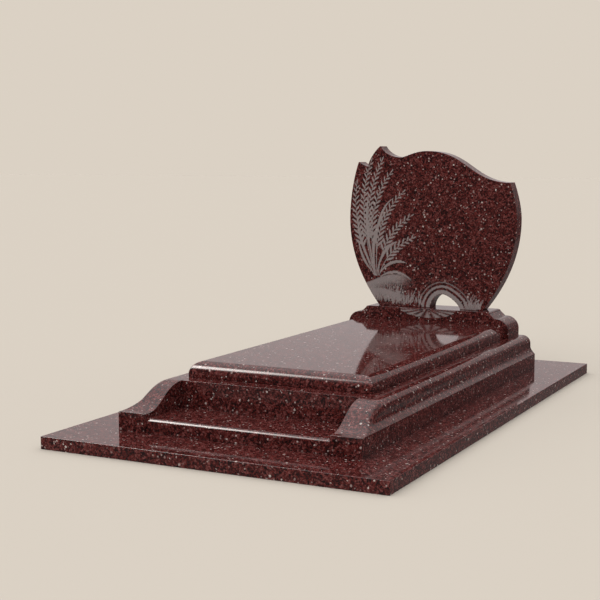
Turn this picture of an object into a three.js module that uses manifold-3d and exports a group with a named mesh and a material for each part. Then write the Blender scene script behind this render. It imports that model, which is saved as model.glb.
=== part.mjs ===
// Granite grave monument: a shaped headstone on a moulded pedestal, at the head of a ledger that lies on
// a kerb frame with scrolled front ends, all on one base slab.
// Millimetres, +Z up, +Y towards the headstone. The origin is the middle of the base slab's underside.

import * as THREE from 'three';
import { mergeVertices } from 'three/addons/utils/BufferGeometryUtils.js';
import Module from 'manifold-3d';

const wasm = await Module();
wasm.setup();

// Gap of the thin joint between two stones that touch.
const JOINT = 0.3;

// Width of the small chamfer that takes the sharpness off every polished edge.
const ARRIS = 2;

// Base slab: its margins outside the kerb frame, and its thickness.
const SLAB_THICKNESS = 48;
const SLAB_FRONT_MARGIN = 218;
const SLAB_BACK_MARGIN = 249;
const SLAB_SIDE_MARGIN = 196;

// Kerb frame, over the outer faces of the two side kerbs.
const FRAME_WIDTH = 1000;
const FRAME_LENGTH = 2053;
const KERB_WIDTH = 120.5;
const BACK_KERB_WIDTH = 120;

// Moulding on a kerb's outer side, from the slab up: plain block, hollow, leaning face, round.
const BLOCK_HEIGHT = 71;
const BLOCK_EDGE_RADIUS = 4;
const HOLLOW_RISE = 33;
const HOLLOW_RUN = 22.5;
const FACE_RISE = 16;
const FACE_LEAN = 0.5;
const ROUND_RADIUS = 39;

// Scrolled front end of a kerb: a flat nose at block height, then a double curve up to full height. The
// round of the moulding runs down along it and dwindles, faster towards the nose the larger the power is.
const NOSE_LENGTH = 17;
const SCROLL_RUN = 235;
const ROUND_DWINDLE = 1.6;

// Step between the two scrolled ends, set a little behind their fronts.
const STEP_HEIGHT = 54;
const STEP_SETBACK = 6;
const STEP_NOSING_RADIUS = 12;

// Ledger, and how it bears on the kerbs and on the riser behind the step.
const LEDGER_THICKNESS = 60;
const LEDGER_SIDE_BEARING = 17.5;
const LEDGER_FRONT_BEARING = 45;
const LEDGER_EDGE_RADIUS = 48;
const SHELF_DEPTH = 75;

// Pedestal: a block with quarter-round shoulders and a narrower top with sloping flanks.
const PEDESTAL_DEPTH = 170;
const PEDESTAL_SETBACK = 21;
const PEDESTAL_SIDE_HEIGHT = 31.5;
const SHOULDER_RADIUS = 60;
const SHOULDER_LEDGE = 9;
const FLANK_RUN = 25;
const FLANK_RISE = 23;
const PEDESTAL_TOP_RISE = 7.5;
const PEDESTAL_TOP_RUN = 15;

// Headstone, and the arched opening through its foot.
const STONE_WIDTH = 870;
const STONE_HEIGHT = 794;
const STONE_THICKNESS = 80;
const ARCH_WIDTH = 155;
const ARCH_HEIGHT = 70;
const ARCH_OFFSET = 79.5;

// Straight pieces that stand for a quarter turn, for a small softened edge, and for one curve of an outline.
const QUARTER_STEPS = 8;
const EDGE_STEPS = 3;
const HOLLOW_STEPS = 8;
const CURVE_STEPS = 12;
const SCROLL_STEPS = 18;

// Levels, from the ground up.
const kerbHeight = BLOCK_HEIGHT + HOLLOW_RISE + FACE_RISE + ROUND_RADIUS;
const pedestalHeight =
  PEDESTAL_SIDE_HEIGHT + SHOULDER_RADIUS + FLANK_RISE + PEDESTAL_TOP_RISE;
const kerbBase = SLAB_THICKNESS + JOINT;
const kerbTop = kerbBase + kerbHeight;
const ledgerBase = kerbTop + JOINT;
const pedestalBase = kerbTop + JOINT;
const stoneBase = pedestalBase + pedestalHeight + JOINT;

// Places along Y, from the front of the slab to its back.
const slabLength = SLAB_FRONT_MARGIN + FRAME_LENGTH + SLAB_BACK_MARGIN;
const slabWidth = FRAME_WIDTH + 2 * SLAB_SIDE_MARGIN;
const frameFront = -slabLength / 2 + SLAB_FRONT_MARGIN;
const frameBack = frameFront + FRAME_LENGTH;
const stepFront = frameFront + STEP_SETBACK;
const riserFront = frameFront + NOSE_LENGTH + SCROLL_RUN;
const ledgerFront = riserFront + SHELF_DEPTH;
const riserBack = ledgerFront + LEDGER_FRONT_BEARING;
const pedestalFront = frameBack - PEDESTAL_DEPTH;
const ledgerBack = pedestalFront - JOINT;
const stoneFront = pedestalFront + (PEDESTAL_DEPTH - STONE_THICKNESS) / 2;

// Half widths, from the middle of the monument.
const kerbOuter = FRAME_WIDTH / 2;
const kerbInner = kerbOuter - KERB_WIDTH;
const kerbFlatEdge = kerbOuter - HOLLOW_RUN - FACE_LEAN - ROUND_RADIUS;
const betweenKerbs = kerbInner - JOINT;
const ledgerHalf = kerbInner + LEDGER_SIDE_BEARING;
const pedestalHalf = kerbFlatEdge - PEDESTAL_SETBACK;

// Turns that lay an extrusion along Y (its outline drawn in X and Z) or along X (drawn in Y and Z).
const ALONG_Y = new THREE.Matrix4().set(1, 0, 0, 0, 0, 0, -1, 0, 0, 1, 0, 0, 0, 0, 0, 1);
const ALONG_X = new THREE.Matrix4().set(0, 0, 1, 0, 1, 0, 0, 0, 0, 1, 0, 0, 0, 0, 0, 1);

function granite(name, color, roughness) {
  return new THREE.MeshStandardMaterial({ name, color, roughness, metalness: 0 });
}

// Outline of straight lines through the given [across, up] points.
function outline(points) {
  return new THREE.Shape(points.map(([across, up]) => new THREE.Vector2(across, up)));
}

// Points of an arc of an ellipse round a centre, from one angle in degrees to another.
function arc(centreX, centreY, radiusX, radiusY, fromDegrees, toDegrees, steps = QUARTER_STEPS) {
  const points = [];
  for (let step = 0; step <= steps; step += 1) {
    const share = step / steps;
    const angle = THREE.MathUtils.degToRad(fromDegrees + (toDegrees - fromDegrees) * share);
    points.push([centreX + radiusX * Math.cos(angle), centreY + radiusY * Math.sin(angle)]);
  }
  return points;
}

// Outline drawn in X and Z, carried along Y from front to back.
function alongY(shape, front, back, chamfer = 0) {
  const geometry = extruded(shape, back - front, chamfer);
  geometry.applyMatrix4(ALONG_Y);
  geometry.translate(0, back, 0);
  return geometry;
}

// Outline drawn in Y and Z, carried along X from left to right.
function alongX(shape, left, right, chamfer = 0) {
  const geometry = extruded(shape, right - left, chamfer);
  geometry.applyMatrix4(ALONG_X);
  geometry.translate(left, 0, 0);
  return geometry;
}

// Outline carried along Z through a length, with its end edges chamfered inwards.
function extruded(shape, length, chamfer) {
  const geometry = new THREE.ExtrudeGeometry(shape, {
    depth: length - 2 * chamfer,
    steps: 1,
    curveSegments: CURVE_STEPS,
    bevelEnabled: chamfer > 0,
    bevelThickness: chamfer,
    bevelSize: chamfer,
    bevelOffset: -chamfer,
    bevelSegments: 1,
  });
  geometry.translate(0, 0, chamfer);
  return geometry;
}

// The stone that two extrusions have in common.
function common(first, second) {
  return fromManifold(toManifold(first).intersect(toManifold(second)));
}

function fromManifold(solid) {
  const mesh = solid.getMesh();
  const geometry = new THREE.BufferGeometry();
  geometry.setAttribute('position', new THREE.BufferAttribute(new Float32Array(mesh.vertProperties), 3));
  geometry.setIndex(new THREE.BufferAttribute(new Uint32Array(mesh.triVerts), 1));
  geometry.computeVertexNormals();
  return geometry;
}

function toManifold(geometry) {
  geometry.deleteAttribute('normal');
  geometry.deleteAttribute('uv');
  const merged = mergeVertices(geometry);
  return new wasm.Manifold(
    new wasm.Mesh({
      numProp: 3,
      vertProperties: new Float32Array(merged.attributes.position.array),
      triVerts: new Uint32Array(merged.index.array),
    }),
  );
}

function part(name, geometry, color, roughness) {
  const mesh = new THREE.Mesh(geometry, granite(name, color, roughness));
  mesh.name = name;
  return mesh;
}

// One plain slab under everything, its edges chamfered above and below.
function baseSlab() {
  const half = slabWidth / 2;
  const shape = outline([
    [-half, -slabLength / 2],
    [half, -slabLength / 2],
    [half, slabLength / 2],
    [-half, slabLength / 2],
  ]);
  return extruded(shape, SLAB_THICKNESS, ARRIS);
}

// A kerb's outer side up to full height, as [X, Z], if it had no round: block, hollow and leaning face.
function kerbSideLine() {
  const blockTop = kerbBase + BLOCK_HEIGHT;
  const hollowTop = blockTop + HOLLOW_RISE;
  const hollowEdge = kerbOuter - HOLLOW_RUN;
  const blockEdge = kerbBlockEdge();
  const [startX, startZ] = blockEdge[EDGE_STEPS];
  const hollow = new THREE.QuadraticBezierCurve(
    new THREE.Vector2(startX, startZ),
    new THREE.Vector2(hollowEdge, startZ + startX - hollowEdge),
    new THREE.Vector2(hollowEdge, hollowTop),
  );
  return [
    [kerbOuter, kerbBase],
    ...blockEdge,
    ...hollow.getPoints(HOLLOW_STEPS * 4).slice(1).map((point) => [point.x, point.y]),
    [hollowEdge - FACE_LEAN, hollowTop + FACE_RISE],
    [hollowEdge - FACE_LEAN, kerbTop],
  ];
}

// The softened edge between a kerb's block and its hollow, which starts at 45 degrees.
function kerbBlockEdge() {
  const blockTop = kerbBase + BLOCK_HEIGHT;
  return arc(kerbOuter - BLOCK_EDGE_RADIUS, blockTop - BLOCK_EDGE_RADIUS,
    BLOCK_EDGE_RADIUS, BLOCK_EDGE_RADIUS, 0, 45, EDGE_STEPS);
}

// X on a line of rising [X, Z] points at a height.
function acrossAt(line, height) {
  const after = Math.max(1, line.findIndex((point) => point[1] >= height));
  const [lowX, lowZ] = line[after - 1];
  const [highX, highZ] = line[after];
  return THREE.MathUtils.mapLinear(height, lowZ, highZ, lowX, highX);
}

// The curve of a scrolled end, as [Y, Z] from the nose up to the riser.
function scrollCurve() {
  const start = frameFront + NOSE_LENGTH;
  const low = kerbBase + BLOCK_HEIGHT;
  const rise = kerbTop - low;
  const curve = new THREE.CubicBezierCurve(
    new THREE.Vector2(start, low),
    new THREE.Vector2(start + 0.404 * SCROLL_RUN, low),
    new THREE.Vector2(start + 0.489 * SCROLL_RUN, low + 0.977 * rise),
    new THREE.Vector2(start + SCROLL_RUN, kerbTop),
  );
  return curve.getPoints(SCROLL_STEPS).map((point) => [point.x, point.y]);
}

// Kerb section where the kerb is as high as top, as [X, Z]: plain on its inner side, moulded on its outer.
function kerbSection(top) {
  const blockEdge = kerbBlockEdge();
  const sideLine = kerbSideLine();
  const hollowBase = blockEdge[EDGE_STEPS][1];
  const nose = kerbBase + BLOCK_HEIGHT;
  const smallest = nose - hollowBase;
  const share = (Math.max(top, nose) - nose) / (kerbTop - nose);
  const radius = smallest + (ROUND_RADIUS - smallest) * (1 - (1 - share) ** ROUND_DWINDLE);
  const roundBase = Math.max(top, nose) - radius;
  const points = [[kerbInner, kerbBase], [kerbOuter, kerbBase], ...blockEdge];
  for (let step = 1; step <= HOLLOW_STEPS; step += 1) {
    const height = THREE.MathUtils.lerp(hollowBase, roundBase, step / HOLLOW_STEPS);
    points.push([acrossAt(sideLine, height), height]);
  }
  for (const [inwards, height] of arc(-radius, roundBase, radius, radius, 0, 90).slice(1)) {
    points.push([acrossAt(sideLine, height) + inwards, height]);
  }
  points.push([kerbInner, kerbTop]);
  return points.map(([across, up]) => [across, Math.min(up, top)]);
}

// A kerb is a skin over its sections, from the nose through the scroll to the back. The side is 1 or -1.
function kerb(side) {
  const nose = kerbBase + BLOCK_HEIGHT;
  const places = [
    [frameFront, nose - ARRIS],
    [frameFront + ARRIS, nose],
    ...scrollCurve(),
    [frameBack, kerbTop],
  ];
  const sections = places.map(([, top]) => kerbSection(top));
  const count = sections[0].length;
  const points = sections.flatMap((section, row) =>
    section.map(([across, up]) => [side * across, places[row][0], up]));
  const triangles = [];
  for (let row = 0; row < sections.length - 1; row += 1) {
    for (let point = 0; point < count; point += 1) {
      const here = row * count + point;
      const next = row * count + (point + 1) % count;
      triangles.push([here, next, here + count], [next, next + count, here + count]);
    }
  }
  const last = (sections.length - 1) * count;
  for (const [a, b, c] of endFace(sections[0])) {
    triangles.push([c, b, a]);
  }
  for (const [a, b, c] of endFace(sections[sections.length - 1])) {
    triangles.push([last + a, last + b, last + c]);
  }
  return skin(points, side < 0 ? triangles : triangles.map(([a, b, c]) => [c, b, a]));
}

// Triangles of a flat end, as places in its outline.
function endFace(section) {
  return THREE.ShapeUtils.triangulateShape(section.map(([across, up]) => new THREE.Vector2(across, up)), []);
}

// Closed surface from points and triangles. Points that fall together are joined into one.
function skin(points, triangles) {
  const geometry = new THREE.BufferGeometry();
  geometry.setAttribute('position', new THREE.BufferAttribute(new Float32Array(points.flat()), 3));
  geometry.setIndex(triangles.flat());
  return fromManifold(toManifold(geometry));
}

// Low step between the kerb ends, with a rounded nosing.
function frontStep() {
  const base = kerbBase;
  const top = base + STEP_HEIGHT;
  const shape = outline([
    [riserFront - JOINT, base],
    [riserFront - JOINT, top],
    ...arc(stepFront + STEP_NOSING_RADIUS, top - STEP_NOSING_RADIUS,
      STEP_NOSING_RADIUS, STEP_NOSING_RADIUS, 90, 180),
    [stepFront, base],
  ]);
  return alongX(shape, -betweenKerbs, betweenKerbs);
}

// Cross piece between the kerbs at their full height, its exposed front edge chamfered.
function crossPiece(front, back) {
  const shape = outline([
    [front, kerbBase],
    [back, kerbBase],
    [back, kerbTop - ARRIS],
    [back - ARRIS, kerbTop],
    [front + ARRIS, kerbTop],
    [front, kerbTop - ARRIS],
  ]);
  return alongX(shape, -betweenKerbs, betweenKerbs);
}

// Ledger: level on top, its front and side edges rounded and mitred together, its back against the pedestal.
function ledger() {
  const top = ledgerBase + LEDGER_THICKNESS;
  const radius = LEDGER_EDGE_RADIUS;
  const section = outline([
    [-ledgerHalf, ledgerBase],
    [ledgerHalf, ledgerBase],
    ...arc(ledgerHalf - radius, top - radius, radius, radius, 0, 90),
    ...arc(-ledgerHalf + radius, top - radius, radius, radius, 90, 180),
  ]);
  const sideView = outline([
    [ledgerFront, ledgerBase],
    [ledgerBack, ledgerBase],
    [ledgerBack, top],
    ...arc(ledgerFront + radius, top - radius, radius, radius, 90, 180),
  ]);
  const reach = ledgerHalf + 1;
  return common(alongY(section, ledgerFront - 1, ledgerBack + 1), alongX(sideView, -reach, reach));
}

// Right half of the pedestal's outline, from its foot up to the edge of its flat top.
function pedestalHalfOutline() {
  const shoulderBase = pedestalBase + PEDESTAL_SIDE_HEIGHT;
  const shoulderTop = shoulderBase + SHOULDER_RADIUS;
  const flankFoot = pedestalHalf - SHOULDER_RADIUS - SHOULDER_LEDGE;
  const flankHead = flankFoot - FLANK_RUN;
  const top = pedestalBase + pedestalHeight;
  return [
    [pedestalHalf, pedestalBase],
    ...arc(pedestalHalf - SHOULDER_RADIUS, shoulderBase, SHOULDER_RADIUS, SHOULDER_RADIUS, 0, 90),
    [flankFoot, shoulderTop],
    ...arc(flankHead - PEDESTAL_TOP_RUN, top - PEDESTAL_TOP_RISE,
      PEDESTAL_TOP_RUN, PEDESTAL_TOP_RISE, 0, 90),
  ];
}

function pedestal() {
  const right = pedestalHalfOutline();
  const left = right.map(([across, up]) => [-across, up]).reverse();
  return alongY(outline([...right, ...left]), pedestalFront, frameBack, ARRIS);
}

// Outline of the headstone in shares of its half width and its height, anticlockwise from its right foot:
// flared sides, a low right corner, a long sweep up to a dome, a dip, a leaf-like lobe and a small shoulder.
function stoneOutline() {
  const half = STONE_WIDTH / 2;
  const x = (share) => share * half;
  const z = (share) => stoneBase + share * STONE_HEIGHT;
  const shape = new THREE.Shape();
  shape.moveTo(x(0.623), z(0));
  shape.bezierCurveTo(x(0.855), z(0.164), x(1), z(0.34), x(1), z(0.55));
  shape.bezierCurveTo(x(1), z(0.63), x(0.956), z(0.712), x(0.913), z(0.78));
  shape.bezierCurveTo(x(0.46), z(0.78), x(0.402), z(0.969), x(-0.051), z(0.969));
  shape.bezierCurveTo(x(-0.23), z(0.969), x(-0.306), z(0.931), x(-0.375), z(0.931));
  shape.bezierCurveTo(x(-0.494), z(0.931), x(-0.575), z(0.963), x(-0.611), z(0.991));
  shape.quadraticCurveTo(x(-0.623), z(1.006), x(-0.637), z(0.996));
  shape.bezierCurveTo(x(-0.69), z(0.97), x(-0.759), z(0.923), x(-0.779), z(0.874));
  shape.quadraticCurveTo(x(-0.832), z(0.88), x(-0.876), z(0.897));
  shape.quadraticCurveTo(x(-0.89), z(0.905), x(-0.897), z(0.898));
  shape.bezierCurveTo(x(-0.949), z(0.819), x(-1), z(0.68), x(-1), z(0.55));
  shape.bezierCurveTo(x(-1), z(0.34), x(-0.855), z(0.164), x(-0.623), z(0));
  archOutline(shape);
  return shape;
}

// The opening in the headstone's foot, from left to right: a steep rise, a rounded crown, a longer fall.
function archOutline(shape) {
  const x = (share) => ARCH_OFFSET + share * ARCH_WIDTH;
  const z = (share) => stoneBase + share * ARCH_HEIGHT;
  shape.lineTo(x(-0.5), z(0));
  shape.bezierCurveTo(x(-0.5), z(0.43), x(-0.34), z(1), x(-0.087), z(1));
  shape.bezierCurveTo(x(0.068), z(1), x(0.442), z(0.457), x(0.5), z(0));
}

function headstone() {
  return alongY(stoneOutline(), stoneFront, stoneFront + STONE_THICKNESS, ARRIS);
}

const monument = new THREE.Group();
monument.name = 'grave_monument';
monument.add(part('base_slab', baseSlab(), 0x5a2b29, 0.14));
monument.add(part('kerb_left', kerb(-1), 0x522625, 0.12));
monument.add(part('kerb_right', kerb(1), 0x522625, 0.12));
monument.add(part('front_step', frontStep(), 0x562927, 0.12));
monument.add(part('front_riser', crossPiece(riserFront, riserBack), 0x4c2322, 0.12));
monument.add(part('back_kerb', crossPiece(frameBack - BACK_KERB_WIDTH, frameBack), 0x4c2322, 0.16));
monument.add(part('ledger', ledger(), 0x5c2e2c, 0.1));
monument.add(part('pedestal', pedestal(), 0x502524, 0.12));
monument.add(part('headstone', headstone(), 0x542826, 0.12));

export default monument;
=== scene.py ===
# %% [markdown]
# # A polished granite grave monument
#
# The monument is nine stones: a base slab, two side kerbs with scrolled front ends, a step, a riser, a
# back kerb, a ledger, a pedestal and a headstone. Every stone was sawn from a block, profiled and polished
# until it mirrors its surroundings. This notebook gives each stone a smooth surface, so that the mirrored
# lines run true, and then the finish: red granite, with a picture frosted into the headstone's face.
#
# All sizes are in metres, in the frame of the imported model: +Z up, +Y towards the headstone.

import math

import bmesh
import bpy
import numpy as np
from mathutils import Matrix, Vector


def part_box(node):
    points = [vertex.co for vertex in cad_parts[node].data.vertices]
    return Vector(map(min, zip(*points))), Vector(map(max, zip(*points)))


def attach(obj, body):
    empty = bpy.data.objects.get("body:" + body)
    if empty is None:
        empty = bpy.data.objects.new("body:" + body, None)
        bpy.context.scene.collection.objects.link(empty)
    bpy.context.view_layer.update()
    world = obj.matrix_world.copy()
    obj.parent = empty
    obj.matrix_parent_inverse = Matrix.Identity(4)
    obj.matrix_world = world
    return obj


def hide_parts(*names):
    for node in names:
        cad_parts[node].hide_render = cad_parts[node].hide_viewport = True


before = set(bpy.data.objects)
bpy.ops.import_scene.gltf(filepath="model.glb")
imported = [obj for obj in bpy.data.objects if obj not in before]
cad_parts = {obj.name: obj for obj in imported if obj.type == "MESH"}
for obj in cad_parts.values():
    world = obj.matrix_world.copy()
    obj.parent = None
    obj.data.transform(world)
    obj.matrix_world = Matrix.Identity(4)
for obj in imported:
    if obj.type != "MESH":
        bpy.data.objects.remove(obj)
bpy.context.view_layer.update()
scene = bpy.context.scene
MM = 0.001
print("stones in the frame:", sorted(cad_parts))


# %% [markdown]
# ## Camera
#
# The photograph was taken from the front right of the grave, a little above the headstone's foot, with a
# long lens. The straight edges of the slab and the kerbs fix where the camera stood, because parallel
# edges meet at a vanishing point. The values here come from that fit.

# %% Camera
CAMERA_PLACE = (2.1697, -4.7687, 1.0642)
CAMERA_TURN = 0.4724
CAMERA_TILT = -0.1150
LENS = 73.66
SENSOR_WIDTH = 36
SIGHT_END = 200

camera = bpy.data.objects.new("view", bpy.data.cameras.new("view"))
camera.data.lens = LENS
camera.data.sensor_width = SENSOR_WIDTH
camera.data.clip_end = SIGHT_END
camera.location = CAMERA_PLACE
camera.rotation_euler = (math.pi / 2 + CAMERA_TILT, 0, CAMERA_TURN)
scene.collection.objects.link(camera)
scene.camera = camera
print("camera at", CAMERA_PLACE, "with a lens of", LENS, "mm")


# %% [markdown]
# ## From arrays to stones
#
# A stone is a closed skin of rings: one outline repeated at many places, each a little changed. The points
# of all rings sit in one array, and the faces between neighbouring rings follow from counting. Rings could
# be joined by hand in edit mode, but an array keeps every point at a place that a formula gives. Points
# that fall together, as at the tip of an outline, are merged at the end, and all faces are turned outwards.

# %% Skin helpers
def ring_quads(ring_count, loop_count, first=0):
    """Faces between rings of a closed loop: point k of ring r joins its neighbours k + 1 and r + 1."""
    ring, point = np.meshgrid(np.arange(ring_count - 1), np.arange(loop_count), indexing="ij")
    after = (point + 1) % loop_count
    corners = [ring * loop_count + point, ring * loop_count + after,
               (ring + 1) * loop_count + after, (ring + 1) * loop_count + point]
    return first + np.stack(corners, -1).reshape(-1, 4)


def end_caps(ring_count, loop_count):
    """The two flat faces that close the first ring and the last."""
    return [range(loop_count), range((ring_count - 1) * loop_count, ring_count * loop_count)]


def grid_quads(rows, columns, first=0):
    """Faces of an open grid: point (row, column) joins the next column and the next row."""
    row, column = np.meshgrid(np.arange(rows - 1), np.arange(columns - 1), indexing="ij")
    corner = row * columns + column
    corners = [corner, corner + 1, corner + columns + 1, corner + columns]
    return first + np.stack(corners, -1).reshape(-1, 4)


SHARP = math.radians(32)
MERGE_DISTANCE = 0.001 * MM
stones = {}


def make_stone(node, points, quads, caps=()):
    """A closed piece that stands for the node of that name: points at one place merged, faces outwards,
    shaded smooth except along edges that turn by more than SHARP."""
    mesh = bpy.data.meshes.new(node + "_stone")
    mesh.from_pydata(points.tolist(), [], quads.tolist() + [list(cap) for cap in caps])
    work = bmesh.new()
    work.from_mesh(mesh)
    bmesh.ops.remove_doubles(work, verts=work.verts, dist=MERGE_DISTANCE)
    bmesh.ops.recalc_face_normals(work, faces=work.faces)
    open_edges = sum(not edge.is_manifold for edge in work.edges)
    work.to_mesh(mesh)
    work.free()
    mesh.shade_smooth()
    mesh.set_sharp_from_angle(angle=SHARP)
    stone = bpy.data.objects.new(node + "_stone", mesh)
    scene.collection.objects.link(stone)
    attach(stone, "root")
    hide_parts(node)
    stones[node] = stone
    triangles = sum(len(face.vertices) - 2 for face in mesh.polygons)
    print(f"{node}: {len(mesh.vertices)} points, {triangles} triangles, {open_edges} open edges")


# %% [markdown]
# ## Outlines with eased corners
#
# No polished stone has a knife edge. The mason takes the sharpness off with a small arris, 2 mm or so, and
# that narrow band catches the light along every edge. A corner is eased here by an arc that touches both
# of its sides. One more point stands a short way off on either side of each arc, so that the flats between
# the arcs are shaded flat.

# %% Outline helpers
ARRIS = 2 * MM
ARRIS_STEPS = 3
CORNER_STEPS = 6
HOLD = 1.5 * MM
CAP_HOLD = 0.3 * MM
INSET_LIMIT = 0.3


def unit(vectors):
    """Each vector divided by its length."""
    return vectors / np.linalg.norm(vectors, axis=-1, keepdims=True)


def corner_sides(loop):
    """For each point of a closed anticlockwise outline: the directions of the side that arrives and the
    side that leaves, their outward normals, and the cosine between the two normals."""
    arriving = unit(loop - np.roll(loop, 1, axis=0))
    leaving = unit(np.roll(loop, -1, axis=0) - loop)
    first = np.stack([arriving[:, 1], -arriving[:, 0]], -1)
    second = np.stack([leaving[:, 1], -leaving[:, 0]], -1)
    return arriving, leaving, first, second, (first * second).sum(-1, keepdims=True)


def eased(corners, radii, hold=HOLD):
    """Closed anticlockwise outline with each corner turned into an arc of its radius. The arc's middle
    lies inwards of the corner, on the line that halves it, and its points sit one radius from it, along
    outward normals that turn evenly from the first side's to the second side's."""
    corners = np.array(corners, float)
    radii = np.broadcast_to(np.array(radii, float), len(corners))[:, None]
    arriving, leaving, first, second, cosine = corner_sides(corners)
    sign = np.sign(arriving[:, :1] * leaving[:, 1:] - arriving[:, 1:] * leaving[:, :1])
    middle = corners - sign * radii * (first + second) / (1 + cosine)
    turn = np.arccos(np.clip(cosine, -1, 1))[:, None, :]
    share = np.linspace(0, 1, CORNER_STEPS + 1)[None, :, None]
    blended = np.sin((1 - share) * turn) * first[:, None] + np.sin(share * turn) * second[:, None]
    normals = blended / np.sin(turn)
    arcs = middle[:, None] + sign[:, None] * radii[:, None] * normals
    before = arcs[:, :1] - arriving[:, None] * hold
    after = arcs[:, -1:] + leaving[:, None] * hold
    return np.concatenate([before, arcs, after], 1).reshape(-1, 2)


def inset(loop, distance):
    """Closed anticlockwise outline moved inwards. A point goes against the sum of its sides' outward
    normals, divided by one plus the cosine between them, so that both sides stay parallel. The divisor
    is never less than INSET_LIMIT, so that the point of a sharp tip stays inside."""
    first, second, cosine = corner_sides(loop)[2:]
    return loop - distance * (first + second) / np.maximum(1 + cosine, INSET_LIMIT)


def arris_rings(start, end, size):
    """Places along a stone's length and the inset of its outline there: a quarter circle of the given
    size at each end, with one more ring on the end face before it and one on the side after it."""
    angle = np.linspace(0, math.pi / 2, ARRIS_STEPS + 1)
    depth = np.concatenate([[0], size * (1 - np.cos(angle)), [size + HOLD]])
    narrowing = np.concatenate([[size + CAP_HOLD], size * (1 - np.sin(angle)), [0]])
    places = np.concatenate([start + depth, end - depth[::-1]])
    return places, np.concatenate([narrowing, narrowing[::-1]])


def ellipse_arc(centre, radii, start, end, count):
    """Points of an ellipse's arc: its centre plus radii times cosine and sine, start to end in degrees."""
    turn = np.radians(np.linspace(start, end, count))
    return np.stack([centre[0] + radii[0] * np.cos(turn), centre[1] + radii[1] * np.sin(turn)], -1)


def curve(*handles, count=26):
    """A Bezier curve through its first and last handle: the handles are blended again and again in pairs
    until one point is left for each step."""
    step = np.linspace(0, 1, count)[:, None]
    level = [np.array(handle, float) + 0 * step for handle in handles]
    while len(level) > 1:
        level = [a + step * (b - a) for a, b in zip(level, level[1:])]
    return level[0]


AXIS_ORDER = {"x": (2, 0, 1), "y": (0, 2, 1), "z": (0, 1, 2)}


def carried(loops, places, axis):
    """Points of 2-D outlines, one for each place, carried along an axis: the outline's two numbers fill
    the other two axes in their order."""
    loops = np.asarray(loops)
    along = np.broadcast_to(np.asarray(places)[:, None, None], loops.shape[:2] + (1,))
    return np.concatenate([loops, along], -1)[..., AXIS_ORDER[axis]].reshape(-1, 3)


def bar(node, loop, start, end, axis, size=ARRIS):
    """A stone of one outline from start to end, its two end faces closed by flat caps."""
    places, narrowing = arris_rings(start, end, size)
    loops = np.stack([inset(loop, distance) for distance in narrowing])
    rings, count = loops.shape[:2]
    make_stone(node, carried(loops, places, axis), ring_quads(rings, count), end_caps(rings, count))


# %% [markdown]
# ## Base slab
#
# One wide slab, 48 mm thick, carries everything. It is a plain rectangle with eased edges, carried up from
# the ground.

# %% Base slab
SLAB_EASE = 3 * MM

low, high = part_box("base_slab")
slab_plan = eased([(low.x, low.y), (high.x, low.y), (high.x, high.y), (low.x, high.y)], SLAB_EASE)
bar("base_slab", slab_plan, low.z, high.z, "z")


# %% [markdown]
# ## Step, riser and back kerb
#
# Three straight pieces lie between the side kerbs. The step has a soft chamfer of 9 mm along its front edge.
# The riser stands behind it, and the ledger leaves a strip of its top bare, as a shelf. The back kerb
# closes the frame under the pedestal. Each is an outline in Y and Z, carried along X.

# %% Step, riser and back kerb
END_EASE = 0.6 * MM
SLIGHT_EASE = 1 * MM
FACET_LENGTHS = np.array([5.0, 4.8, 4.0]) * MM
FACET_TILTS = np.radians([33, 44, 66])
FACET_HOLD = 0.5 * MM
STEP_RADII = np.array([1, 1, 2, 8, 9, 24, 4]) * MM

for node, front_radius in (("front_riser", SLIGHT_EASE), ("back_kerb", ARRIS)):
    low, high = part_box(node)
    corners = [(low.y, low.z), (high.y, low.z), (high.y, high.z), (low.y, high.z)]
    radii = [SLIGHT_EASE, SLIGHT_EASE, ARRIS, front_radius]
    bar(node, eased(corners, radii), low.x, high.x, "x", END_EASE)

low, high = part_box("front_step")
facets = FACET_LENGTHS[:, None] * np.stack([np.sin(FACET_TILTS), np.cos(FACET_TILTS)], -1)
facet_foot = np.array([low.y, high.z - facets[:, 1].sum()])
facet_ends = facet_foot + np.cumsum(facets, axis=0)
corners = [(low.y, low.z), (high.y, low.z), (high.y, high.z), *facet_ends[::-1], facet_foot]
bar("front_step", eased(corners, STEP_RADII, FACET_HOLD), low.x, high.x, "x", END_EASE)


# %% [markdown]
# ## Ledger
#
# The ledger is the level cover stone. Its front and side edges are rounded over 48 mm of its height and meet
# in a mitre, and its back stands against the pedestal. It is built up in rings: each is the ledger's
# rectangle, drawn in at the front and the sides by as much as the rounding takes away at that height.

# %% Ledger
LEDGER_ROUND = 48 * MM
MITRE_EASE = 5 * MM
JOINT_EASE = 0.5 * MM
FOOT_EASE = 1 * MM
FOOT_HOLD = 3 * MM
ROUND_POINTS = 27

low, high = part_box("ledger")
angle = np.linspace(0, math.pi / 2, ROUND_POINTS)
levels = np.concatenate([
    [low.z, low.z, low.z + FOOT_EASE, high.z - LEDGER_ROUND - HOLD],
    high.z - LEDGER_ROUND + LEDGER_ROUND * np.sin(angle),
    [high.z],
])
drawn_in = np.concatenate([
    [FOOT_HOLD, FOOT_EASE, 0, 0], LEDGER_ROUND * (1 - np.cos(angle)), [LEDGER_ROUND + HOLD]])
plans = np.stack([
    eased([(low.x + d, low.y + d), (high.x - d, low.y + d), (high.x - d, high.y), (low.x + d, high.y)],
          [MITRE_EASE, MITRE_EASE, JOINT_EASE, JOINT_EASE])
    for d in drawn_in
])
rings, count = plans.shape[:2]
make_stone("ledger", carried(plans, levels, "z"), ring_quads(rings, count), end_caps(rings, count))


# %% [markdown]
# ## Side kerbs
#
# A side kerb is moulded on its outer side: a plain block, a hollow that leaves the block's edge at 45
# degrees and ends upright, a short face and a round of 39 mm. At the front it runs down in a double curve to
# a low nose. The mason works the round down along that curve too, ever smaller, until only an eased edge is
# left at the nose. So each row of the array is the moulding up to the foot of the round there, then the
# round, then flat across to the inner side.

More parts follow.
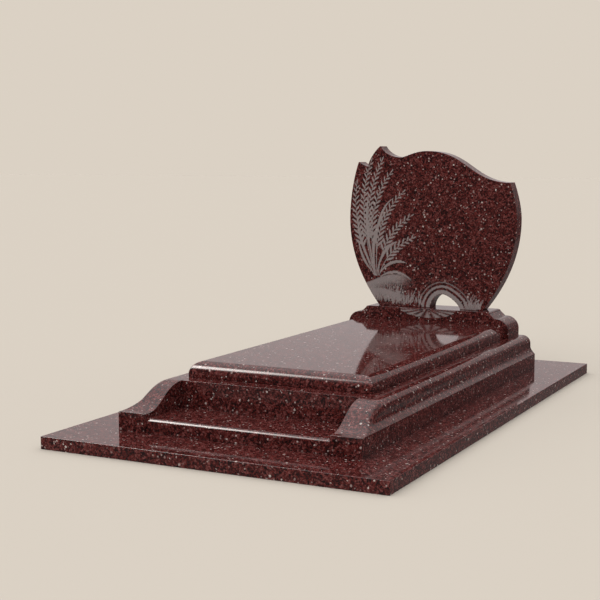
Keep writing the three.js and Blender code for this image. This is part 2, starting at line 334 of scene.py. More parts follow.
# %% The two outlines of a kerb
low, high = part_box("kerb_right")
KERB_BASE, KERB_TOP = low.z, high.z
KERB_INNER, KERB_OUTER = low.x, high.x
KERB_FRONT, KERB_BACK = low.y, high.y
BLOCK_TOP = KERB_BASE + 71 * MM
BLOCK_ROUND = 1.5 * MM
HOLLOW_TOP = BLOCK_TOP + 33 * MM
HOLLOW_EDGE = KERB_OUTER - 22.5 * MM
FACE_TOP = HOLLOW_TOP + 16 * MM
FACE_EDGE = HOLLOW_EDGE - 0.5 * MM
TOP_ROUND = 39 * MM
SCROLL_START = KERB_FRONT + 17 * MM
SCROLL_RUN = 235 * MM
SCROLL_RISE = KERB_TOP - BLOCK_TOP
LOW_HANDLE = 0.404
HIGH_HANDLE = (0.489, 0.977)

block_edge = ellipse_arc(
    (KERB_OUTER - BLOCK_ROUND, BLOCK_TOP - BLOCK_ROUND), (BLOCK_ROUND, BLOCK_ROUND), 0, 45, 6)
hollow_x, hollow_z = block_edge[-1]
hollow = curve(
    (hollow_x, hollow_z), (HOLLOW_EDGE, hollow_z + hollow_x - HOLLOW_EDGE), (HOLLOW_EDGE, HOLLOW_TOP),
    count=80)
moulding = np.concatenate([
    [(KERB_OUTER, KERB_BASE)], block_edge, hollow[1:], [(FACE_EDGE, FACE_TOP), (FACE_EDGE, KERB_TOP)]])
scroll_y, scroll_z = curve(
    (SCROLL_START, BLOCK_TOP),
    (SCROLL_START + LOW_HANDLE * SCROLL_RUN, BLOCK_TOP),
    (SCROLL_START + HIGH_HANDLE[0] * SCROLL_RUN, BLOCK_TOP + HIGH_HANDLE[1] * SCROLL_RISE),
    (SCROLL_START + SCROLL_RUN, KERB_TOP),
    count=46).T
print("moulding points:", len(moulding), " scroll:", scroll_y[[0, -1]].round(4))

# %% Both side kerbs
KERB_EASE = 1 * MM
ROUND_GROWTH = 1.6
SCROLL_HOLD = 3 * MM
BLOCK_HOLD = 7 * MM
ACROSS_TOP = (0.04, 0.5, 0.96, 1)

ease = np.radians(np.linspace(0, 90, 4))
rows_y = np.concatenate([
    KERB_FRONT + KERB_EASE * (1 - np.cos(ease)), [SCROLL_START - SCROLL_HOLD],
    scroll_y, [scroll_y[-1] + SCROLL_HOLD, KERB_BACK - KERB_EASE, KERB_BACK]])[:, None]
rows_z = np.concatenate([
    BLOCK_TOP - KERB_EASE * (1 - np.sin(ease)), [BLOCK_TOP], scroll_z, [KERB_TOP] * 3])[:, None]


def round_at(top):
    """Radius of the round where the kerb is as high as top. With s the share of the scroll's rise that is
    reached, it is smallest + (largest - smallest) (1 - (1 - s) ** ROUND_GROWTH)."""
    smallest = BLOCK_TOP - hollow_z
    share = (top - BLOCK_TOP) / SCROLL_RISE
    return smallest + (TOP_ROUND - smallest) * (1 - (1 - share) ** ROUND_GROWTH)


full_z = np.maximum(rows_z, BLOCK_TOP)
radius = round_at(full_z)
foot_z = full_z - radius
block_z = np.concatenate([[KERB_BASE, BLOCK_TOP - BLOCK_HOLD], block_edge[:-1, 1]])[None] + 0 * rows_z
side_z = hollow_z + (foot_z - hollow_z) * np.linspace(0, 1, 26)[None]
turn = np.radians(np.linspace(0, 90, 17))[None, 1:]
round_z = foot_z + radius * np.sin(turn)
outer_z = np.concatenate([block_z, side_z, round_z], 1)
outer_x = np.interp(outer_z, moulding[:, 1], moulding[:, 0])
outer_x[:, -turn.size:] -= radius * (1 - np.cos(turn))
edge_x = outer_x[:, -1:]
top_x = edge_x + (KERB_INNER + KERB_EASE - edge_x) * np.array([ACROSS_TOP])
inner_x = KERB_INNER + KERB_EASE * (1 - np.sin(ease[1:]))[None] + 0 * edge_x
low_x = np.full_like(edge_x, KERB_INNER)
section_x = np.concatenate([outer_x, top_x, inner_x, low_x, low_x], 1)
section_z = np.concatenate([
    outer_z, rows_z + 0 * top_x, rows_z - KERB_EASE * (1 - np.cos(ease[1:]))[None],
    rows_z - KERB_EASE - HOLD, np.full_like(edge_x, KERB_BASE)], 1)
section_z = np.minimum(section_z, rows_z)
rows, columns = section_x.shape

for node, side in (("kerb_left", -1), ("kerb_right", 1)):
    points = np.stack([side * section_x, rows_y + 0 * section_x, section_z], -1).reshape(-1, 3)
    make_stone(node, points, ring_quads(rows, columns), end_caps(rows, columns))


# %% [markdown]
# ## Upright stones
#
# The pedestal and the headstone are flat stones with a shaped outline, and each carries frosting on its
# front face. Frosting needs points to hold its tone, so the front face is a fine grid. It is spanned
# between the lower and the upper line of the outline: column by column, a share of the way up from one to
# the other. The sides and the eased edges follow the grid's border as rings, and the back is one flat cap.

# %% Upright stone
def upright_stone(node, lower, upper, front, back, rows, pointed):
    """A flat stone between two lines with as many points each, left to right. Face point (i, j) lies a
    share j / (rows - 1) of the way from point i of the lower line to point i of the upper. When pointed,
    the two lines meet at both ends."""
    rise = np.linspace(0, 1, rows)[:, None, None]
    between = rise[1:-1]
    right = lower[-1] + between[:, 0] * (upper[-1] - lower[-1])
    left = (lower[0] + between[:, 0] * (upper[0] - lower[0]))[::-1]
    if pointed:
        loop = np.concatenate([lower, upper[-2:0:-1]])
    else:
        loop = np.concatenate([lower, right, upper[::-1], left])
    places, narrowing = arris_rings(front, back, ARRIS)
    loops = np.stack([inset(loop, distance) for distance in narrowing])
    count = len(lower)
    face_low = loops[0][:count]
    if pointed:
        face_high = np.concatenate([face_low[:1], loops[0][count:][::-1], face_low[-1:]])
    else:
        face_high = loops[0][count + rows - 2:2 * count + rows - 2][::-1]
    face = face_low[None] + rise * (face_high - face_low)[None]
    if not pointed:
        face[1:-1, -1] = loops[0][count:count + rows - 2]
        face[1:-1, 0] = loops[0][2 * count + rows - 2:][::-1]
    ring_points = carried(loops, places, "y")
    face_points = carried(face, np.full(rows, front), "y")
    quads = np.concatenate([
        ring_quads(len(places), len(loop)),
        grid_quads(rows, count, first=len(ring_points)),
    ])
    back_cap = end_caps(len(places), len(loop))[1:]
    make_stone(node, np.concatenate([ring_points, face_points]), quads, back_cap)


def line_at(places, line):
    """Points of a line of growing x at the given x."""
    return np.stack([places, np.interp(places, line[:, 0], line[:, 1])], -1)


# %% [markdown]
# ## Pedestal
#
# The pedestal widens in quarter-round shoulders below a narrower top, which the headstone stands on. Its
# upper line is symmetrical, and its lower line is straight.

# %% Pedestal
SHOULDER_FOOT, SHOULDER_ROUND, SHOULDER_TOP = 31.5 * MM, 60 * MM, 91.5 * MM
FLANK_INSET, CROWN_INSET = 69 * MM, 109 * MM
CROWN_WIDTH, CROWN_HEIGHT = 15 * MM, 7.5 * MM
FIRST_COLUMN, COLUMN_STEP = 4 * MM, 5 * MM

low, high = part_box("pedestal")
base, half = low.z, high.x
shoulder = ellipse_arc(
    (half - SHOULDER_ROUND, base + SHOULDER_FOOT), (SHOULDER_ROUND, SHOULDER_ROUND), 0, 90, 22)
crown = ellipse_arc((half - CROWN_INSET, high.z - CROWN_HEIGHT), (CROWN_WIDTH, CROWN_HEIGHT), 0, 90, 8)
flank_foot = (half - FLANK_INSET, base + SHOULDER_TOP)
right_line = np.concatenate([shoulder, [flank_foot], crown])[::-1]
upper_line = np.concatenate([right_line[::-1] * (-1, 1), right_line])
columns = np.arange(-half + FIRST_COLUMN, half, COLUMN_STEP)
places = np.unique(np.round(np.concatenate([upper_line[:, 0], columns]), 6))
upright_stone(
    "pedestal", np.stack([places, np.full_like(places, base)], -1), line_at(places, upper_line),
    low.y, high.y, rows=36, pointed=False)


# %% [markdown]
# ## Headstone
#
# The headstone has a free outline: a flared body, a low right corner, a long sweep up to a dome, a dip, a
# leaf-like lobe and a small shoulder at the left. An arched notch opens through its foot. The outline is a
# chain of Bezier curves, given in shares of the half width and of the height, and each is worked out as a
# whole array. From left to right, x never turns back on either line, so the face grid can't fold.

# %% Outline of the headstone
low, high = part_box("headstone")
STONE_HALF = high.x
STONE_FOOT, STONE_HEIGHT = low.z, high.z - low.z
STONE_FRONT = low.y
SAME_X = 1e-7


def on_stone(shares):
    """Shares of the half width and the height turned into metres."""
    return shares * (STONE_HALF, STONE_HEIGHT) + (0, STONE_FOOT)


def monotone(line):
    """The line with its points sorted by x, and those that share an x taken once."""
    line = line[np.argsort(line[:, 0], kind="stable")]
    return line[np.concatenate([[True], np.diff(line[:, 0]) > SAME_X])]


upper_line = on_stone(np.concatenate([
    curve((-1, 0.55), (-1, 0.68), (-0.949, 0.819), (-0.897, 0.898)),
    curve((-0.897, 0.898), (-0.89, 0.905), (-0.876, 0.897)),
    curve((-0.876, 0.897), (-0.832, 0.88), (-0.779, 0.874)),
    curve((-0.779, 0.874), (-0.759, 0.923), (-0.69, 0.97), (-0.637, 0.996)),
    curve((-0.637, 0.996), (-0.623, 1.006), (-0.611, 0.991)),
    curve((-0.611, 0.991), (-0.575, 0.963), (-0.494, 0.931), (-0.375, 0.931)),
    curve((-0.375, 0.931), (-0.306, 0.931), (-0.23, 0.969), (-0.051, 0.969)),
    curve((-0.051, 0.969), (0.402, 0.969), (0.46, 0.78), (0.913, 0.78)),
    curve((0.913, 0.78), (0.956, 0.712), (1, 0.63), (1, 0.55)),
]))
ARCH_MIDDLE, ARCH_WIDTH, ARCH_HEIGHT = 79.5 * MM, 155 * MM, 70 * MM
arch_line = np.concatenate([
    curve((-0.5, 0), (-0.5, 0.43), (-0.34, 1), (-0.087, 1)),
    curve((-0.087, 1), (0.068, 1), (0.442, 0.457), (0.5, 0)),
]) * (ARCH_WIDTH, ARCH_HEIGHT) + (ARCH_MIDDLE, STONE_FOOT)
lower_line = np.concatenate([
    on_stone(curve((-1, 0.55), (-1, 0.34), (-0.855, 0.164), (-0.623, 0))), arch_line,
    on_stone(curve((0.623, 0), (0.855, 0.164), (1, 0.34), (1, 0.55))),
])
print("arch from", round(arch_line[0, 0], 4), "to", round(arch_line[-1, 0], 4))

# %% Headstone
WIDEST_COLUMN = 4 * MM
NARROWEST_COLUMN = 0.12 * MM

upper_line, lower_line = monotone(upper_line), monotone(lower_line)
columns = np.arange(-STONE_HALF, STONE_HALF, WIDEST_COLUMN)
places = np.unique(np.round(np.concatenate([upper_line[:, 0], lower_line[:, 0], columns]), 6))
wide_enough = np.diff(places) > NARROWEST_COLUMN
wanted = np.concatenate([[True], wide_enough])
wanted[-2:] = [wanted[-2] and wide_enough[-1], True]
places = places[wanted]
upright_stone(
    "headstone", line_at(places, lower_line), line_at(places, upper_line),
    STONE_FRONT, high.y, rows=168, pointed=True)


# %% [markdown]
# ## The frosted picture
#
# The polish is broken by sandblasting or by a diamond point, which leaves a pale grey frost flush with the
# face. The design is a plain country motif: leafy sprays that lean along the left side, a meadow of grass
# blades below, and rounded bands that echo over the arch. Each mark is a stroke with a width, and a point's
# tone comes from its distance to the nearest strokes. The tone is kept in an attribute, so the finish can
# read it, and nothing is raised.

# %% Strokes
SOFTNESS = 1.6 * MM
STROKES_AT_ONCE = 24
LEAF_POINTS = 12
LEAF_TIP = 0.4
SPRAY_REACH = 0.68
SPRAY_SPACING = 27 * MM
SPRAY_TIP = 4 * MM
LEAFLET_LEAN = 0.80
LEAFLET_LENGTHS = (46, 24)
LEAFLET_WIDTHS = (0.03, 0.01, 0.105)


def strokes_tone(points, strokes):
    """Coverage of points by strokes. A stroke is (x1, z1, x2, z2, w1, w2, belly): its half width runs from
    w1 to w2 and swells by belly in the middle. Coverage falls from 1 to 0 across a soft edge."""
    tone = np.zeros(len(points))
    for block in np.array_split(np.asarray(strokes, float), max(1, len(strokes) // STROKES_AT_ONCE)):
        start, way = block[:, 0:2], block[:, 2:4] - block[:, 0:2]
        offset = points[:, None] - start[None]
        share = np.clip((offset * way).sum(-1) / (way ** 2).sum(-1), 0, 1)
        distance = np.linalg.norm(offset - share[..., None] * way, axis=-1)
        width = block[:, 4] + (block[:, 5] - block[:, 4]) * share + block[:, 6] * 4 * share * (1 - share)
        covered = np.clip(0.5 - (distance - width) / SOFTNESS, 0, 1)
        tone = np.maximum(tone, covered.max(1))
    return tone


def bent(start, first, second, end, count):
    """Points of a cubic Bezier curve in millimetres from the middle of the stone's foot."""
    return curve(start, first, second, end, count=count) * MM + (0, STONE_FOOT)


def joined(line, width):
    """Strokes from point to point of a line that is as wide at each point as width says, in millimetres."""
    width = width[:, None] * MM
    return np.concatenate([line[:-1], line[1:], width[:-1], width[1:], 0 * width[1:]], 1)


def leaf(start, first, second, end, belly):
    """A long leaf: a curve whose half width is LEAF_TIP + belly sin(t), with t from 0 to pi along it."""
    line = bent(start, first, second, end, LEAF_POINTS)
    return joined(line, LEAF_TIP + belly * np.sin(np.linspace(0, math.pi, LEAF_POINTS)))


def spray(line):
    """Slender leaves up the last part of a stem, at even spacing. They lean off it left and right in turn
    and shorten towards the tip, where one last leaf goes on along the stem."""
    way = unit(np.gradient(line, axis=0))
    run = np.concatenate([[0], np.cumsum(np.linalg.norm(np.diff(line, axis=0), axis=1))])
    stations = np.arange(run[-1] * (1 - SPRAY_REACH), run[-1] - SPRAY_TIP, SPRAY_SPACING / 2)
    side = np.where(np.arange(len(stations)) % 2, 1.0, -1.0)
    lean = np.append(side * LEAFLET_LEAN, 0.0)[:, None]
    stations = np.append(stations, run[-1])
    root = np.stack([np.interp(stations, run, line[:, axis]) for axis in (0, 1)], -1)
    along = unit(np.stack([np.interp(stations, run, way[:, axis]) for axis in (0, 1)], -1))
    across = np.stack([-along[:, 1], along[:, 0]], -1)
    size = np.linspace(*LEAFLET_LENGTHS, len(stations))[:, None] * MM
    tip = root + unit(along + lean * across) * size
    return np.concatenate([root, tip] + [share * size for share in LEAFLET_WIDTHS], 1)


# %% [markdown]
# The marks are drawn next: seven leafy stems, eight long leaves, and blades of grass whose places come from
# a seeded random draw, so that they are the same every time.

# %% Marks of the picture
STEMS = [
    ((-296, 150), (-352, 330), (-392, 520), (-322, 716)),
    ((-290, 150), (-330, 330), (-330, 520), (-214, 664)),
    ((-284, 150), (-300, 320), (-270, 450), (-150, 566)),
    ((-300, 150), (-372, 290), (-420, 430), (-398, 610)),
    ((-278, 150), (-270, 270), (-220, 380), (-108, 448)),
    ((-292, 150), (-346, 330), (-366, 500), (-262, 724)),
    ((-272, 150), (-250, 230), (-190, 300), (-96, 340)),
]
LEAVES = [
    ((-300, 170), (-350, 260), (-396, 340), (-392, 470), 6.5),
    ((-292, 170), (-320, 300), (-300, 400), (-236, 470), 7),
    ((-284, 160), (-270, 260), (-214, 320), (-168, 322), 7),
    ((-296, 180), (-340, 330), (-356, 430), (-330, 560), 6),
    ((-276, 150), (-236, 220), (-170, 236), (-120, 214), 7),
    ((-302, 160), (-356, 210), (-376, 262), (-390, 330), 6),
    ((-288, 250), (-300, 380), (-268, 500), (-196, 540), 5.5),
    ((-270, 140), (-220, 180), (-150, 180), (-98, 130), 6.5),
]
GRASS = [(-318, -150, 70, 40, 118, 26), (-200, -36, 60, 22, 80, 14), (178, 262, 42, 22, 70, 12)]
STEM_WIDTHS = np.linspace(2.2, 1.1, 40)
BLADE_LEAN = 0.28
BLADE_WIDTHS = np.array([1.3, 0.2, 0.5]) * MM
draw = np.random.default_rng(11)


def blades(left, right, count, shortest, tallest, ground):
    """Blades of grass from random feet near the ground line: each a straight taper with a lean."""
    foot = draw.uniform(left, right, count)
    height = draw.uniform(shortest, tallest, count)
    lean = draw.normal(0, BLADE_LEAN, count)
    level = ground + draw.uniform(-6, 10, count)
    ends = np.stack([foot, level, foot + lean * height, level + height], -1) * MM
    ends[:, 1::2] += STONE_FOOT
    return np.concatenate([ends, np.tile(BLADE_WIDTHS, (count, 1))], 1)


stem_lines = [bent(*stem, len(STEM_WIDTHS)) for stem in STEMS]
marks = [joined(line, STEM_WIDTHS) for line in stem_lines]
marks += [spray(line) for line in stem_lines]
marks += [leaf(*shape) for shape in LEAVES]
marks += [blades(*patch) for patch in GRASS]
marks = np.concatenate(marks)
print("marks in the picture:", len(marks))


# %% [markdown]
# Around the marks lie soft areas: ground that fades upwards from the foot, and the bands over the arch.
# A band follows the arch at an even distance, so its tone depends on nothing but the distance to the arch's
# curve.

# %% Tone of the engraved faces
BANDS = [
    (1.0, (2, 4), (21, 24)), (0.85, (32, 34), (44, 47)),
    (0.62, (54, 56), (62, 65)), (0.4, (72, 74), (77, 80)),
]
FAN_MIDDLE, FAN_WIDTH, FAN_HEIGHT, FAN_RAYS = 6, 150, 46, 16
FACE_TOLERANCE = 0.02 * MM


def distance_to(points, line):
    """Shortest distance from each point to the points of a line."""
    return np.sqrt(((points[:, None] - line[None]) ** 2).sum(-1).min(1))


def fade(value, start, end):
    """0 before start, 1 after end, and an even slope that is eased at both ends in between."""
    share = np.clip((value - start) / (end - start), 0, 1)
    return share * share * (3 - 2 * share)


def ridge(depth, edge, start, end, loss):
    """Tone of a ridge by the depth below its line: full from the line down, less by loss between the
    depths start and end."""
    return fade(depth, -edge, edge) * (1 - loss * fade(depth, start, end))


def stone_picture(points):
    """Tone of each face point: strokes over soft ground, and bands over the arch. Places and depths are
    in millimetres from the middle of the foot. No mark lies outside the near points."""
    x, z = points[:, 0] / MM, (points[:, 1] - STONE_FOOT) / MM
    near = (x < 20) | ((x > 160) & (z < 120))
    lines = np.zeros(len(points))
    lines[near] = strokes_tone(points[near], marks)
    crest = 128 + 20 * np.sin((x + 300) / 62) + 0.10 * (x + 300)
    second = 74 + 14 * np.sin((x + 250) / 45 + 2)
    hills = np.maximum(ridge(crest - z, 7, 8, 92, 0.8), ridge(second - z, 6, 6, 70, 0.75))
    ground = 0.80 * hills * (1 - fade(x, -210, -24))
    gap = distance_to(points, arch_line[::3]) / MM
    bands = np.maximum.reduce([
        strength * fade(gap, *inner) * (1 - fade(gap, *outer)) for strength, inner, outer in BANDS])
    tuft = 0.6 * (1 - fade(z, 4, 46)) * fade(x, 168, 190) * (1 - fade(x, 238, 268))
    return np.maximum.reduce([lines * 0.95, ground, bands * 0.85, tuft])


def pedestal_picture(points):
    """A fan under the arch: half an oval that hangs from the pedestal's top edge, cut by rays."""
    x, z = points[:, 0] / MM - FAN_MIDDLE, (points[:, 1] - PEDESTAL_TOP) / MM
    reach = np.hypot(x / FAN_WIDTH, z / FAN_HEIGHT)
    ray = np.cos(FAN_RAYS * np.arctan2(z / FAN_HEIGHT, x / FAN_WIDTH))
    return (0.55 + 0.3 * ray) * (1 - fade(reach, 0.94, 1.0)) * (0.55 + 0.45 * fade(reach, 0.1, 0.9))


def keep_tone(stone, front, picture):
    """Writes the picture's tone at the points of the front face, and none elsewhere."""
    mesh = stone.data
    place = np.empty(len(mesh.vertices) * 3, np.float32)
    mesh.vertices.foreach_get("co", place)
    place = place.reshape(-1, 3).astype(float)
    face = np.abs(place[:, 1] - front) < FACE_TOLERANCE
    tone = np.zeros(len(place), np.float32)
    tone[face] = picture(place[face][:, (0, 2)])
    mesh.attributes.new("frost", "FLOAT", "POINT").data.foreach_set("value", tone)
    print(f"{stone.name}: {face.sum()} face points, mean tone {tone[face].mean():.3f}")


PEDESTAL_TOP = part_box("pedestal")[1].z
keep_tone(stones["headstone"], STONE_FRONT, stone_picture)
keep_tone(stones["pedestal"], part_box("pedestal")[0].y, pedestal_picture)


# %% [markdown]
# ## Granite
#
# Granite is a mosaic of crystals. This one has a ground of dark red and near-black grains a few
# millimetres across, and pale pink feldspar flecks scattered through it. Cells around random points look
# like crystals, so the grains are coloured by cell, and the flecks are the hearts of larger cells that a
# random number picks out. A little noise bends the cells, because real grains aren't straight-sided.
# Each stone takes another part of the pattern, as it would come from another part of the quarry.

# %% Node helpers
def add_node(tree, kind, inputs=None, **settings):
    """A node with its settings. An input is linked when it is given a socket, and set otherwise."""
    made = tree.nodes.new(kind)
    for name, value in settings.items():
        setattr(made, name, value)
    for name, value in (inputs or {}).items():
        if isinstance(value, bpy.types.NodeSocket):
            tree.links.new(value, made.inputs[name])
        else:
            made.inputs[name].default_value = value
    return made


def arithmetic(tree, operation, a, b, c=0.0, clamp=False):
    """One step of arithmetic on two values or sockets, or on three to multiply and add."""
    inputs = {0: a, 1: b, 2: c}
    return add_node(tree, "ShaderNodeMath", inputs, operation=operation, use_clamp=clamp).outputs[0]


def swing(tree, value, size):
    """A random value of 0 to 1 turned into one around 0: (value - 0.5) size."""
    return arithmetic(tree, "MULTIPLY", arithmetic(tree, "SUBTRACT", value, 0.5), size)


def vector(tree, operation, inputs):
    """The outputs of one step of arithmetic on vectors."""
    return add_node(tree, "ShaderNodeVectorMath", inputs, operation=operation).outputs


def noise(tree, place, scale, detail):
    """The outputs of a cloudy pattern: a value first, then a colour."""
    inputs = {"Vector": place, "Scale": scale, "Detail": detail}
    return add_node(tree, "ShaderNodeTexNoise", inputs).outputs


def blend_colour(tree, share, a, b, kind="MIX"):
    """Colour a turned into colour b by a share, or multiplied by it."""
    made = add_node(tree, "ShaderNodeMix", {0: share, 6: a, 7: b}, data_type="RGBA", blend_type=kind)
    return made.outputs[2]


def colour_steps(tree, value, steps):
    """Colours placed along 0 to 1, blended in between."""
    made = add_node(tree, "ShaderNodeValToRGB", {0: value})
    elements = made.color_ramp.elements
    while len(elements) < len(steps):
        elements.new(0.5)
    for element, (place, colour) in zip(elements, steps):
        element.position = place
        element.color = (*colour, 1)
    return made.outputs[0]


def eased_step(tree, value, start, end):
    """0 below start and 1 above end, eased in between."""
    made = add_node(tree, "ShaderNodeMapRange", {0: value, 1: start, 2: end, 3: 0.0, 4: 1.0},
                    interpolation_type="SMOOTHSTEP")
    return made.outputs[0]


# %% Granite finish
GRAINS = [
    (0.0, (0.010, 0.004, 0.004)), (0.26, (0.022, 0.007, 0.007)), (0.40, (0.060, 0.009, 0.008)),
    (0.60, (0.100, 0.013, 0.011)), (0.70, (0.052, 0.023, 0.022)), (0.80, (0.130, 0.019, 0.016)),
    (0.97, (0.185, 0.064, 0.060)),
]
FLECKS = [(0.0, (0.18, 0.10, 0.095)), (0.60, (0.33, 0.25, 0.235)), (1.0, (0.56, 0.49, 0.46))]
FROST = (0.325, 0.285, 0.280, 1)
FROST_SHARE, FROST_ROUGHNESS = 0.80, 0.5
FROST_EDGE, FROST_START = (0.25, 0.75), (0.0, 0.12)
POLISH = 0.060
REFRACTION = 1.5
BEND_SCALE, BEND_SIZE = 260.0, 0.006
GRAIN_LAYERS = ((135.0, 0.62), (290.0, 0.52))
GRAIN_SWING = 1.35
CLOUD_SCALE, CLOUD_SWING = 30.0, 0.55
SPECK_SCALE, SPECK_GAIN, SPECK_BASE = 620.0, 1.5, 0.25
FLECK_LAYERS = ((88.0, 0.966, 0.42), (150.0, 0.966, 0.52))
FLECK_EDGE = (-0.02, 0.05)
STIPPLE_SCALE, STIPPLE_SWING = 700.0, 1.3


def fleck_mask(tree, place, scale, chosen, widest):
    """Angular flecks: whole cells that a random number above chosen picks, cut off at the distance
    widest from their middle. Gives the mask and another random number for the colour."""
    cells = add_node(tree, "ShaderNodeTexVoronoi", {"Vector": place, "Scale": scale})
    parts = add_node(tree, "ShaderNodeSeparateColor", {0: cells.outputs["Color"]})
    picked = arithmetic(tree, "GREATER_THAN", parts.outputs[0], chosen)
    near = eased_step(tree, arithmetic(tree, "SUBTRACT", widest, cells.outputs["Distance"]), *FLECK_EDGE)
    return arithmetic(tree, "MULTIPLY", picked, near), parts.outputs[1]


def granite(name, shift, turn, frosted=False):
    """Polished red granite. The pattern is shifted and turned for each stone, and a frosted stone also
    loses its polish where the frost attribute says so."""
    material = bpy.data.materials.new(name)
    material.use_nodes = True
    tree = material.node_tree
    shader = tree.nodes["Principled BSDF"]
    shader.inputs["Roughness"].default_value = POLISH
    shader.inputs["IOR"].default_value = REFRACTION
    place = add_node(tree, "ShaderNodeTexCoord").outputs["Object"]
    place = add_node(
        tree, "ShaderNodeMapping", {"Vector": place, "Location": shift, "Rotation": turn}).outputs[0]
    wobble = noise(tree, place, BEND_SCALE, 2.0)["Color"]
    wobble = vector(tree, "SUBTRACT", {0: wobble, 1: (0.5, 0.5, 0.5)})[0]
    wobble = vector(tree, "SCALE", {0: wobble, "Scale": BEND_SIZE})[0]
    bent_place = vector(tree, "ADD", {0: place, 1: wobble})[0]
    picks = []
    for scale, weight in GRAIN_LAYERS:
        cells = add_node(tree, "ShaderNodeTexVoronoi", {"Vector": bent_place, "Scale": scale}).outputs
        number = add_node(tree, "ShaderNodeSeparateColor", {0: cells["Color"]}).outputs[0]
        picks.append(swing(tree, number, GRAIN_SWING * weight))
    picks.append(swing(tree, noise(tree, place, CLOUD_SCALE, 2.0)[0], CLOUD_SWING))
    pick = arithmetic(tree, "ADD", arithmetic(tree, "ADD", picks[0], picks[1]), picks[2])
    pick = arithmetic(tree, "ADD", pick, 0.5, clamp=True)
    colour = colour_steps(tree, pick, GRAINS)
    speck = noise(tree, place, SPECK_SCALE, 3.0)[0]
    shade = arithmetic(tree, "MULTIPLY_ADD", speck, SPECK_GAIN, SPECK_BASE)
    colour = blend_colour(tree, 1.0, colour, shade, kind="MULTIPLY")
    for scale, chosen, widest in FLECK_LAYERS:
        mask, number = fleck_mask(tree, bent_place, scale, chosen, widest)
        colour = blend_colour(tree, mask, colour, colour_steps(tree, number, FLECKS))
    if frosted:
        tone = add_node(tree, "ShaderNodeAttribute", attribute_name="frost").outputs["Fac"]
        stipple = swing(tree, noise(tree, place, STIPPLE_SCALE, 1.0)[0], STIPPLE_SWING)
        level = eased_step(tree, arithmetic(tree, "ADD", tone, stipple), *FROST_EDGE)
        frost = arithmetic(tree, "MULTIPLY", level, eased_step(tree, tone, *FROST_START))
        dusted = blend_colour(tree, FROST_SHARE, colour, FROST)
        colour = blend_colour(tree, frost, colour, dusted)
        roughness = arithmetic(tree, "MULTIPLY_ADD", frost, FROST_ROUGHNESS, POLISH)
        tree.links.new(roughness, shader.inputs["Roughness"])
    tree.links.new(colour, shader.inputs["Base Color"])
    return material


PATTERN_PLACES = {
    "base_slab": ((0.0, 0.0, 0.0), (0.0, 0.0, 0.3)),
    "kerb_left": ((1.3, 0.2, 0.7), (0.2, 0.1, 0.9)),
    "kerb_right": ((2.1, 1.4, 0.1), (0.1, 0.4, 0.2)),
    "front_step": ((3.7, 0.9, 1.2), (0.5, 0.2, 0.0)),
    "front_riser": ((4.2, 2.3, 0.4), (0.3, 0.6, 0.8)),
    "back_kerb": ((5.1, 1.1, 2.2), (0.7, 0.3, 0.1)),
    "ledger": ((6.4, 3.2, 0.9), (0.1, 0.2, 1.1)),
    "pedestal": ((7.2, 0.6, 1.8), (0.4, 0.1, 0.5)),
    "headstone": ((8.8, 2.7, 3.1), (0.2, 0.3, 0.4)),
}
for node, (shift, turn) in PATTERN_PLACES.items():
    frosted = node in ("pedestal", "headstone")
    stones[node].data.materials.append(granite(node + "_granite", shift, turn, frosted))
print("finished stones:", len(PATTERN_PLACES))


# %% [markdown]
# ## Studio
#
# A mirror-like stone shows its room as much as its own colour. The room here is a plain pale one, lit
# softly from all sides and most from above, and the floor has the colour of the photograph's ground. What
# the polish mirrors is set apart from that light: a bright wall behind and to the left, a panel that hangs
# behind to the right, a brighter ceiling, and a dim remainder, so that upright faces stay deep red while
# level ones turn pale at a flat angle. A bright patch high at the left gives the lines along the rounded
# front edges. It fades towards its rim, so the lines fade too. One weak, very wide lamp overhead adds a
# little shade where stones meet, and the floor is painted so that under all this light it shows PALE.

# %% Surroundings
PALE = (0.708, 0.638, 0.552)
LEVEL_LIGHT = (0.65, 0.64, 0.63, 1)
TOP_LIGHT = (1.80, 1.78, 1.76, 1)
RIGHT_SHADE = 0.72
FLOOR_LIGHT = (1.258, 1.243, 1.228)
WALL = (0.610, 0.550, 0.545, 1)
PANEL = (0.540, 0.485, 0.475, 1)
CEILING = (1.60, 1.50, 1.50, 1)
DIM = (0.070, 0.062, 0.062, 1)
UNDER = (0.080, 0.072, 0.072, 1)
GROUND = (0.160, 0.148, 0.144, 1)
PATCH = (19.0, 18.3, 17.4, 1)
WALL_WAY, WALL_EDGE = (-0.60, 0.80, 0.0), (0.48, 0.86)
PATCH_WAY, PATCH_EDGE = (-0.635, -0.366, 0.680), (0.953, 0.997)
PANEL_HEIGHT, PANEL_DEPTH = (0.20, 0.30), (0.55, 0.85)
UNDER_EDGE, HORIZON, CEILING_EDGE = (-0.17, -0.12), (-0.04, 0.04), (0.40, 0.90)

world = bpy.data.worlds.new("studio")
scene.world = world
world.use_nodes = True
tree = world.node_tree
background = tree.nodes["Background"]
way = add_node(tree, "ShaderNodeTexCoord").outputs["Generated"]
axes = add_node(tree, "ShaderNodeSeparateXYZ", {0: way}).outputs
height = axes["Z"]


def towards(direction):
    """Cosine between the looked-at direction and a given one."""
    return vector(tree, "DOT_PRODUCT", {0: way, 1: direction})["Value"]


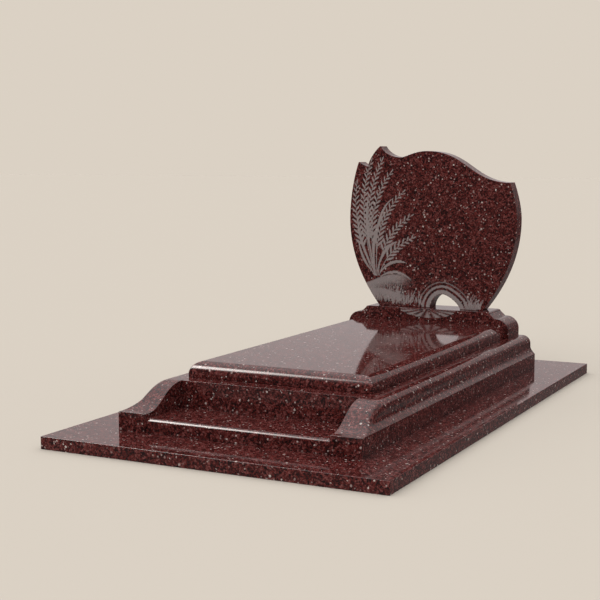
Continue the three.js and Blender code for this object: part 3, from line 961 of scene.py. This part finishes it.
mirrored = blend_colour(tree, eased_step(tree, towards(WALL_WAY), *WALL_EDGE), DIM, WALL)
raised = arithmetic(
    tree, "MULTIPLY", eased_step(tree, height, *PANEL_HEIGHT), eased_step(tree, axes["Y"], *PANEL_DEPTH))
mirrored = blend_colour(tree, raised, mirrored, PANEL)
below = blend_colour(tree, eased_step(tree, height, *UNDER_EDGE), GROUND, UNDER)
mirrored = blend_colour(tree, eased_step(tree, height, *HORIZON), below, mirrored)
mirrored = blend_colour(tree, eased_step(tree, height, *CEILING_EDGE), mirrored, CEILING)
mirrored = blend_colour(tree, eased_step(tree, towards(PATCH_WAY), *PATCH_EDGE), mirrored, PATCH)
above = arithmetic(tree, "MULTIPLY", height, 1.0, clamp=True)
from_right = arithmetic(tree, "MULTIPLY", axes["X"], 1.0, clamp=True)
shade = arithmetic(tree, "SUBTRACT", 1.0, arithmetic(tree, "MULTIPLY", from_right, RIGHT_SHADE))
soft_light = blend_colour(tree, above, LEVEL_LIGHT, TOP_LIGHT)
soft_light = blend_colour(tree, 1.0, soft_light, shade, kind="MULTIPLY")
rays = add_node(tree, "ShaderNodeLightPath").outputs
colour = blend_colour(tree, rays["Is Glossy Ray"], soft_light, mirrored)
colour = blend_colour(tree, rays["Is Camera Ray"], colour, (*PALE, 1))
tree.links.new(colour, background.inputs["Color"])
scene.view_settings.view_transform = "Standard"
print("world set to pale", PALE)

# %% Lamp and floor
LAMP_STRENGTH = 0.15
LAMP_SPREAD = 2.0
overhead = bpy.data.objects.new("overhead", bpy.data.lights.new("overhead", "SUN"))
overhead.data.energy = LAMP_STRENGTH
overhead.data.angle = LAMP_SPREAD
overhead.location = (0, 0, 4.0)
overhead.visible_glossy = False
scene.collection.objects.link(overhead)

FLOOR_HALF = 60
floor_mesh = bpy.data.meshes.new("floor")
floor_corners = np.array([(-1, -1), (1, -1), (1, 1), (-1, 1)]) * FLOOR_HALF
floor_mesh.from_pydata([(x, y, 0) for x, y in floor_corners], [], [(0, 1, 2, 3)])
floor = bpy.data.objects.new("floor", floor_mesh)
scene.collection.objects.link(floor)
plain = bpy.data.materials.new("floor_pale")
plain.use_nodes = True
floor_colour = np.array(PALE) / np.array(FLOOR_LIGHT)
for name, value in (("Base Color", (*floor_colour, 1)), ("Roughness", 0.9), ("Specular IOR Level", 0.0)):
    plain.node_tree.nodes["Principled BSDF"].inputs[name].default_value = value
floor.data.materials.append(plain)
floor.visible_glossy = False
print("lamp:", overhead.name, " floor colour:", floor_colour.round(3))
